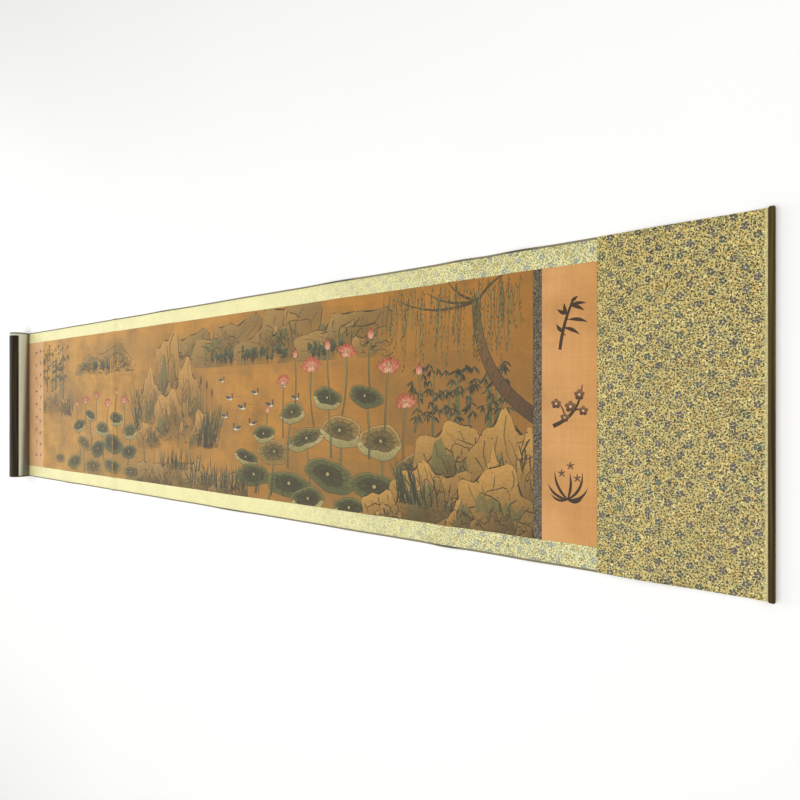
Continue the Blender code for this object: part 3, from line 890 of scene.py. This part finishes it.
# near end: the great lotus bed, rocks with bamboo, and the willow over them
bamboo(1072, 92, 120, 92, 10, 84)
lotus(lotus_leaf, ((760, 70, 34), (826, 92, 36), (894, 104, 38), (958, 92, 36), (800, 128, 26),
                   (868, 148, 28), (936, 150, 27)), 10, 80, 2.4, tilt=(0.42, 0.62), folds=0.45)
lotus(lotus_flower, ((838, 190, 21), (904, 206, 18), (972, 184, 20), (782, 172, 15),
                     (1000, 140, 17)), 8, 80, 1.9)
lotus(lotus_bud, ((870, 214, 15), (944, 224, 14), (806, 206, 13), (748, 128, 13),
                  (1018, 176, 13)), 8, 70, 1.7)
lotus(lotus_leaf, ((700, 60, 26), (740, 96, 24), (716, 34, 36), (790, 26, 42), (872, 44, 44),
                   (952, 34, 42), (1010, 66, 30), (830, 8, 34), (910, 4, 32)),
      tilt=(0.42, 0.5), folds=0.3)
rocks(((1092, 34, 150, 90), (1146, 20, 110, 110), (1040, 0, 120, 70), (1116, -10, 130, 72),
       (960, -16, 90, 42)), mist="88")
reeds(1008, 20, 40, 60, 16, -0.25)
reeds(660, 8, 60, 46, 40, 0.1)
trunk = bow((1180, 120), (1096, 262), 0.16, 12)
wash(brush(trunk, 15, (1, 0.9, 0.7, 0.5)), "#7A5C38", "#4C3A26", (1100, 262), (1160, 130), ink=0.8)
for share in np.linspace(0.1, 0.85, 12):
    at = trunk[int(share * 11)]
    stroke(at - (3, 2), at + (2, 8), 0.2, 4, 0.9, PLAIN, INK)
for end in ((1030, 272), (1060, 281), (1140, 284), (985, 268)):
    stroke((1098, 256), end, 0.1, 7, 4.0, (1, 0.7, 0.2), "#4C3A26")
willow(1060, 276, 190, 92, 62)
for x in rng.uniform(0, 1164, 150):
    wash(ring_of(x, rng.uniform(4, 110), 1.3, 0.7, 6), pick("#4C5234", "#6F6A40"))

# the join between two lengths of silk: a pale line along one side and a dark one along the other,
# painted highlight and painted shade for the light on the ridge there
stroke((305.9, 0), (306.7, 281), 0.002, 9, 0.7, (1, 0.7, 1), "#D9AE66")
stroke((306.9, 0), (307.7, 281), 0.002, 9, 0.9, (1, 0.6, 1), "#6E5126")

ochre = painting_silk("ochre_painting_silk", "#CD9843", "#AA7127", "#7A5B26", PICTURE_X,
                      DIVIDER_X)
JOIN_MM = 306.8
far_length = painted_sheet("painting_far_length", PICTURE_X, PICTURE_X + JOIN_MM / 1000, ochre, work)
near_length = painted_sheet("painting_near_length", PICTURE_X + JOIN_MM / 1000, DIVIDER_X - SEAM,
                            ochre, work, JOIN_MM)
for length in (far_length, near_length):
    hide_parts("picture_panel")

# title panel: three ink studies down its middle, bamboo, plum and orchid
tan = painting_silk("tea_toned_silk", "#D6A062", "#CD9452", "#B37D42", TITLE_X, HEAD_X)
work, cx = [], 28.0
root, crown = np.array([cx - 9, 196]), np.array([cx + 4, 244])
stroke(root, crown, 0.04, 8, 3.4, (1, 1, 0.9, 0.7), "#1B140C", "#120C07", root, crown)
for x, y, lean, long in ((cx - 2, 232, 2.3, 18), (cx - 2, 232, 2.9, 15), (cx + 2, 240, 0.9, 17),
                         (cx + 2, 240, 0.3, 15), (cx - 6, 214, 2.6, 16), (cx + 1, 226, 0.5, 19),
                         (cx - 4, 218, 0.2, 17), (cx + 3, 243, 1.6, 13)):
    tip = (x + long * np.cos(lean - 0.6), y + 0.8 * long * np.sin(lean - 0.6) - 3)
    stroke((x, y), tip, 0.08, 6, 4.2, (0.3, 1, 0.7, 0.0), "#140E08")
for share in (0.3, 0.62):
    at = root + (crown - root) * share
    stroke(at - (2.6, 0), at + (2.6, 0), 0.15, 4, 1.4, PLAIN, "#0E0A06")
branch = bow((cx - 16, 118), (cx + 14, 160), -0.16, 9)
wash(brush(branch, 4.4, (1, 0.8, 0.5, 0.2)), "#150F09")
stroke(branch[4], (cx + 17, 134), 0.12, 6, 2.2, (1, 0.7, 0.1), "#150F09")
stroke(branch[2], (cx - 15, 146), -0.12, 6, 2.0, (1, 0.7, 0.1), "#150F09")
for x, y, r in ((cx + 2, 138, 4.6), (cx + 11, 150, 4.2), (cx - 13, 141, 4.0), (cx + 15, 134, 3.8),
                (cx - 4, 127, 3.6)):
    for a in 0.3 + 1.2566 * np.arange(5):
        wash(ring_of(x + 0.8 * r * np.cos(a), y + 0.8 * r * np.sin(a), 0.55 * r, 0.55 * r, 9),
             "#7A5A3C", "#241509", (x, y + r), (x, y - r))
    wash(ring_of(x, y, 0.3 * r, 0.3 * r, 6), "#E0B684")
for lean, long, bend in ((2.5, 26, 0.16), (2.0, 32, 0.12), (1.5, 28, -0.08), (1.1, 33, -0.16),
                         (0.6, 25, -0.2), (2.9, 18, 0.2), (0.2, 16, -0.22)):
    tip = (cx - 1 + long * np.cos(lean), 44 + long * np.sin(lean))
    stroke((cx - 1, 44), tip, bend, 8, 3.0, (0.5, 1, 0.8, 0.0), "#140E08")
for x, y in ((cx - 7, 70), (cx + 9, 66), (cx + 2, 78)):
    for a in (0.4, 1.5, 2.7, 3.9, 5.3):
        tip = (x + 5 * np.cos(a), y + 5 * np.sin(a))
        stroke((x, y), tip, 0.1, 5, 2.0, PETAL_STROKE, "#54402B")
title = painted_sheet("title_panel_silk", TITLE_X - SEAM, HEAD_X - 2 * SEAM, tan, work)
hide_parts("title_panel")

# closing panel: two files of small ink sprigs
closing_tan = painting_silk("tea_toned_closing_silk", "#D8A876", "#DCAE7C", "#C2925E", PANEL_END,
                            PICTURE_X)
work = []
for cx, pitch in ((42.0, 29.0), (62.0, 26.0)):
    for cy in np.arange(24, 262, pitch):
        for lean, long in zip(rng.uniform(0.2, 2.9, 4), rng.uniform(5, 9, 4)):
            tip = (cx + long * np.cos(lean), cy + long * np.sin(lean))
            stroke((cx, cy), tip, rng.uniform(-0.2, 0.2), 5, 1.9, PETAL_STROKE, "#22160D")
        stroke((cx, cy), (cx + rng.uniform(-2, 2), cy - 6), 0.1, 4, 1.0, PLAIN, "#22160D")
closing = painted_sheet("closing_panel_silk", PANEL_END, PICTURE_X - SEAM, closing_tan, work)
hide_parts("colophon_panel")

# ---------------------------------------------------------------- the divider
# A 9 mm strip of dark figured silk between title panel and painting.
dark_brocade = brocade(
    "dark_silk_brocade", vine="#8A7A5C",
    shade=((0.0, "#2A231C"), (0.12, "#463B2E"), (0.5, "#57493A"), (0.8, "#3A382F")),
    blooms=((0.0, "#6F665C"), (0.4, "#655D54"), (0.7, "#5A5C52"), (0.9, "#836F46")),
    painted_highlight=(0, 1, 0.0, "#8A7A5C"), Specular_IOR_Level=0.4, Sheen_Weight=0.15,
)
divider = laid_sheet("divider_silk", DIVIDER_X, TITLE_X - 2 * SEAM, PANEL_LOW, PANEL_HIGH,
                     dark_brocade, ON_PAPER, SILK, step=0.002)
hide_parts("divider_strip")

# ---------------------------------------------------------------- the stave
# A half-round batten of split bamboo at the scroll's opening end, wrapped in dark olive silk that
# is pasted round it and folded in at the two ends.
STAVE_WIDE, STAVE_HIGH, STAVE_SOFT = 0.0052, 0.0065, 0.0008
STAVE_MIDDLE = STAVE_EDGE + STAVE_WIDE / 2


def dark_silk(name, olive, brown, night, pitch):
    """Dark satin in stripes that run across the scroll: a slow noise picks between three near-black
    colours, and a fine twill, drawn coarse enough to show, gives the relief."""
    made, skin, put, _, mm = cloth(name, Roughness=0.5, Specular_IOR_Level=0.22,
                                   Sheen_Weight=0.04, Sheen_Roughness=0.4,
                                   Specular_Tint=(1.0, 0.78, 0.5, 1.0))
    long_way = put("Mapping", mm, Scale=(1 / pitch, 0.006, 1.0))
    bands = put("TexNoise", long_way, Scale=1.0, Detail=2.0)
    tone = put("Mix RGBA", put("MapRange", bands, 0.42, 0.5), olive, brown)
    tone = put("Mix RGBA", put("MapRange", bands, 0.53, 0.62), tone, night)
    fleck = put("TexNoise", mm, Scale=1.1, Detail=3.0)
    twill = put("TexWave DIAGONAL", mm, Scale=0.18, Distortion=0.4)
    feed(skin, Base_Color=put("VectorMath SCALE", tone, put("Math MULTIPLY_ADD", fleck, 0.8, 0.6)),
         Normal=put("Bump", Strength=0.35, Distance=0.0001, Height=twill))
    return made


stave_silk = dark_silk("olive_wrapping_silk", "#52451F", "#403417", "#281E0A", 2.2)


def batten(name, material):
    """A closed profile carried across the scroll: a box whose upper corners are quarter circles of
    2.4 mm and lower ones of 0.6 mm. The profile shrinks to its middle over the last 0.8 mm of each
    end as a quarter circle, and wanders by under 0.1 mm where the silk is lapped."""
    ring = []
    for quarter, (sx, sz, r) in enumerate(((1, 1, 0.0024), (-1, 1, 0.0024), (-1, -1, 0.0006),
                                           (1, -1, 0.0006))):
        a = np.linspace(0, np.pi / 2, 7) + quarter * np.pi / 2
        ring.append(np.stack([sx * (STAVE_WIDE / 2 - r) + r * np.cos(a),
                              sz * (STAVE_HIGH / 2 - r) + r * np.sin(a)], 1))
    ring = np.concatenate(ring)
    close = np.array([0, 0.0001, 0.0003, STAVE_SOFT])
    ys = np.r_[close - HALF, np.linspace(0.002 - HALF, HALF - 0.002, 83), HALF - close[::-1]]
    inset = np.clip(1 - (HALF - np.abs(ys)) / STAVE_SOFT, 0, 1)
    shrink = STAVE_SOFT * (1 - np.sqrt(1 - inset**2))[:, None]
    lap = (0.00006 * np.sin(ys * 70) + 0.00004 * np.sin(ys * 173 + 1)) * (1 - inset)
    x = STAVE_MIDDLE + ring[:, 0] * (1 - shrink / (STAVE_WIDE / 2))
    z = STAVE_HIGH / 2 + ring[:, 1] * (1 - shrink / (STAVE_HIGH / 2))
    z += lap[:, None] * (ring[:, 1] > 0)
    y = np.broadcast_to(ys[:, None], x.shape)
    middle = np.array([[STAVE_MIDDLE, s * HALF, STAVE_HIGH / 2] for s in (-1, 1)])
    rows, columns = x.shape
    n = x.size
    j = np.arange(columns)
    k = (j + 1) % columns
    a, b = (np.arange(rows - 1)[:, None] * columns + side for side in (j, k))
    last, centre = n - columns, np.full(columns, n)
    faces = np.concatenate([
        np.stack([a, a + columns, b + columns], -1).reshape(-1, 3),
        np.stack([a, b + columns, b], -1).reshape(-1, 3),
        np.stack([j, k, centre], 1), np.stack([last + k, last + j, centre + 1], 1)])
    girth = np.r_[0, np.cumsum(np.hypot(*np.diff(ring, axis=0).T))]
    flat = np.stack(np.broadcast_arrays(girth, y), -1).reshape(-1, 2)
    return mesh_piece(name, np.concatenate([np.stack([x, y, z], -1).reshape(-1, 3), middle]),
                      faces, np.concatenate([flat, middle[:, :2]]), material)


stave = batten("wrapped_stave", stave_silk)
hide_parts("head_stave")

# ---------------------------------------------------------------- the roll
# The rest of the length, wound face inwards, so its outside is the lining paper. The sheet runs in
# under the roll, up its far side and over the top, about fourteen turns in all.
TURNS, THICK = 13.6, 0.0008


def spiral(a, lift=0.0):
    """Places in the roll's section, `lift` outside the outer face of the sheet, whose radius is
    19 mm - 1.2 mm a / 360 at an angle a below the seam; the seam is at -82 degrees."""
    radius = ROLL_RADIUS - TURN_STEP * a / 360 + lift
    at = np.radians(SEAM_ANGLE - a)
    return ROLL_X + radius * np.cos(at), ROLL_Z + radius * np.sin(at)


def wound(name, material):
    """A sheet 0.8 mm thick on the spiral. It is carried along the scroll's width, and each turn's two
    ends stand in or out by up to 0.5 mm, a sum of slow sines of the angle."""
    a = np.linspace(0, TURNS * 360, int(TURNS * 64) + 1)[:, None]
    ys = np.r_[-1, -0.998, np.linspace(-0.985, 0.985, 12), 0.998, 1] * HALF
    ragged = 0.0003 * np.sin(a / 360 * 2.1) + 0.0002 * np.sin(a / 57.3 * 0.83 + 1) - 0.0004
    y = ys + np.sign(ys) * ragged * (np.abs(ys) > 0.15)
    faces = []
    for lift in (0, -THICK):
        x, z = spiral(a, lift)
        faces.append(np.stack(np.broadcast_arrays(x, y, np.maximum(z, 0.0)), -1))
    outer = ROLL_RADIUS - TURN_STEP * a[:, 0] / 360
    run = np.r_[0, np.cumsum(0.5 * (outer[1:] + outer[:-1]) * np.radians(np.diff(a[:, 0])))]
    flat = np.stack(np.broadcast_arrays(-run[:, None], ys), -1)
    return two_faced(name, *faces, flat, material), float(run[-1])


roll, wound_length = wound("wound_roll", paper)
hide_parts("roll")

# ---------------------------------------------------------------- the roll's cover
# A strip of dark silk satin lies over the roll, from low on its far side across the top to the near
# side. It is narrower than the roll, so the pale lining shows past both its ends.
COVER_LOW, COVER_TOP, COVER_NEAR, COVER_FAR = -0.1635, 0.1575, 25.0, 200.0
cover_silk = dark_silk("striped_cover_satin", "#2C2410", "#1C0F0A", "#0A0704", 6.0)


def curved_strip(name, material):
    """A strip bent round the roll: its faces are 0.15 and 0.75 mm outside the spiral's outer face,
    from 25 to 200 degrees, with the corners of its long edges eased by 0.2 mm."""
    a = np.r_[COVER_NEAR, COVER_NEAR + 0.7, np.linspace(COVER_NEAR + 2, COVER_FAR - 2, 60),
              COVER_FAR - 0.7, COVER_FAR]
    ys = np.r_[COVER_LOW, COVER_LOW + 0.0003, np.linspace(COVER_LOW + 0.001, COVER_TOP - 0.001, 60),
               COVER_TOP - 0.0003, COVER_TOP]
    a, y = np.meshgrid(a[::-1], ys, indexing="ij")
    ease = np.minimum(np.minimum(a - COVER_NEAR, COVER_FAR - a) / 2,
                      np.minimum(y - COVER_LOW, COVER_TOP - y) / 0.0006)
    drop = 0.0002 * (1 - np.sqrt(1 - np.clip(1 - ease, 0, 1) ** 2))
    ripple = 0.00005 * np.sin(y * 55 + a / 20)
    faces = []
    for lift in (0.00075 - drop + ripple, np.full(y.shape, 0.00015)):
        x, z = spiral((SEAM_ANGLE - a) % 360, lift)
        faces.append(np.stack([x, y, z], -1))
    flat = np.stack([ROLL_RADIUS * np.radians(a), y], -1)
    return two_faced(name, *faces, flat, material)


cover = curved_strip("roll_cover_silk", cover_silk)
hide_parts("roll_cover")
